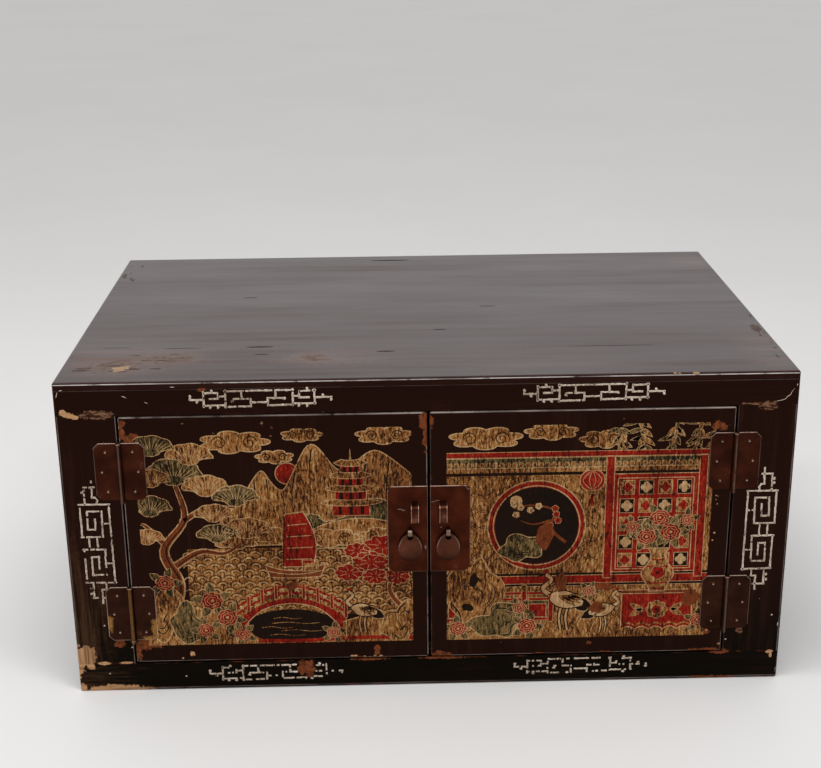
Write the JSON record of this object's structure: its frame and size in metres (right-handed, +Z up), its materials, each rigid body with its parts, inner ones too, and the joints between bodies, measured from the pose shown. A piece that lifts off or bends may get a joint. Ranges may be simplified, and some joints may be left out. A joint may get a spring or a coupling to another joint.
{
  "type": "low two-door storage cabinet",
  "caption": "Low lacquered wooden cabinet with a flat top, painted flush doors on surface hinges, lock plates with staples and egg-shaped drop pulls.",
  "frame": {"origin": "centre of the case's underside, on the floor", "axes": "+X to the right seen from the front, -Y towards the front where the doors open, +Z up"},
  "size_m": [0.9, 0.6045, 0.42],
  "materials": {
    "black_lacquer": "aged semi-gloss black lacquer, rubbed brown at the edges and chipped to the wood",
    "bare_wood": "old unpolished softwood",
    "dark_copper": "copper alloy with a dark reddish-brown patina",
    "nail_metal": "hammered nail heads, rubbed bright",
    "gilt_paint": "worn gilding on raised lacquer",
    "red_paint": "cinnabar red lacquer paint",
    "green_paint": "olive green lacquer paint",
    "fret_paint": "thin cream line paint"
  },
  "bodies": {
    "carcass": {"back_bottom_rail": "black_lacquer", "back_top_rail": "black_lacquer", "frame_hinge_nails": "nail_metal", "front_bottom_board": "bare_wood", "front_bottom_rail": "black_lacquer", "front_top_board": "black_lacquer", "front_top_rail": "black_lacquer", "left_front_stile": "black_lacquer", "left_lower_frame_leaf": "dark_copper", "left_lower_hinge_pin": "dark_copper", "left_rear_post": "black_lacquer", "left_side_bottom_rail": "black_lacquer", "left_side_panel": "black_lacquer", "left_side_top_rail": "black_lacquer", "left_top_batten": "bare_wood", "left_upper_frame_leaf": "dark_copper", "left_upper_hinge_pin": "dark_copper", "lower_back_board": "bare_wood", "lower_door_stop": "bare_wood", "rear_bottom_board": "bare_wood", "rear_top_board": "black_lacquer", "right_front_stile": "black_lacquer", "right_lower_frame_leaf": "dark_copper", "right_lower_hinge_pin": "dark_copper", "right_rear_post": "black_lacquer", "right_side_bottom_rail": "black_lacquer", "right_side_panel": "black_lacquer", "right_side_top_rail": "black_lacquer", "right_top_batten": "bare_wood", "right_upper_frame_leaf": "dark_copper", "right_upper_hinge_pin": "dark_copper", "top_pegs": "bare_wood", "upper_back_board": "bare_wood", "upper_door_stop": "bare_wood"},
    "left_door": {"left_door_board": "black_lacquer", "left_door_hinge_nails": "nail_metal", "left_door_lower_batten": "bare_wood", "left_door_upper_batten": "bare_wood", "left_lock_plate": "dark_copper", "left_lock_staple": "dark_copper", "left_lower_door_leaf": "dark_copper", "left_pull_eye": "dark_copper", "left_upper_door_leaf": "dark_copper"},
    "right_door": {"right_door_board": "black_lacquer", "right_door_hinge_nails": "nail_metal", "right_door_lower_batten": "bare_wood", "right_door_upper_batten": "bare_wood", "right_lock_plate": "dark_copper", "right_lock_staple": "dark_copper", "right_lower_door_leaf": "dark_copper", "right_pull_eye": "dark_copper", "right_upper_door_leaf": "dark_copper"},
    "left_pull": {"left_drop_pull": "dark_copper"},
    "right_pull": {"right_drop_pull": "dark_copper"}
  },
  "joints": [
    {"name": "left_door_swing", "type": "hinge", "parent": "carcass", "child": "left_door", "pos_m": [-0.376, -0.2986, 0.208], "axis": [0, 0, -1], "range_deg": [0, 180]},
    {"name": "right_door_swing", "type": "hinge", "parent": "carcass", "child": "right_door", "pos_m": [0.376, -0.2986, 0.208], "axis": [0, 0, 1], "range_deg": [0, 180]},
    {"name": "left_pull_swing", "type": "hinge", "parent": "left_door", "child": "left_pull", "pos_m": [-0.0237, -0.3015, 0.21798], "axis": [-1, 0, 0], "range_deg": [0, 110]},
    {"name": "right_pull_swing", "type": "hinge", "parent": "right_door", "child": "right_pull", "pos_m": [0.0237, -0.3015, 0.21798], "axis": [-1, 0, 0], "range_deg": [0, 110]}
  ]
}
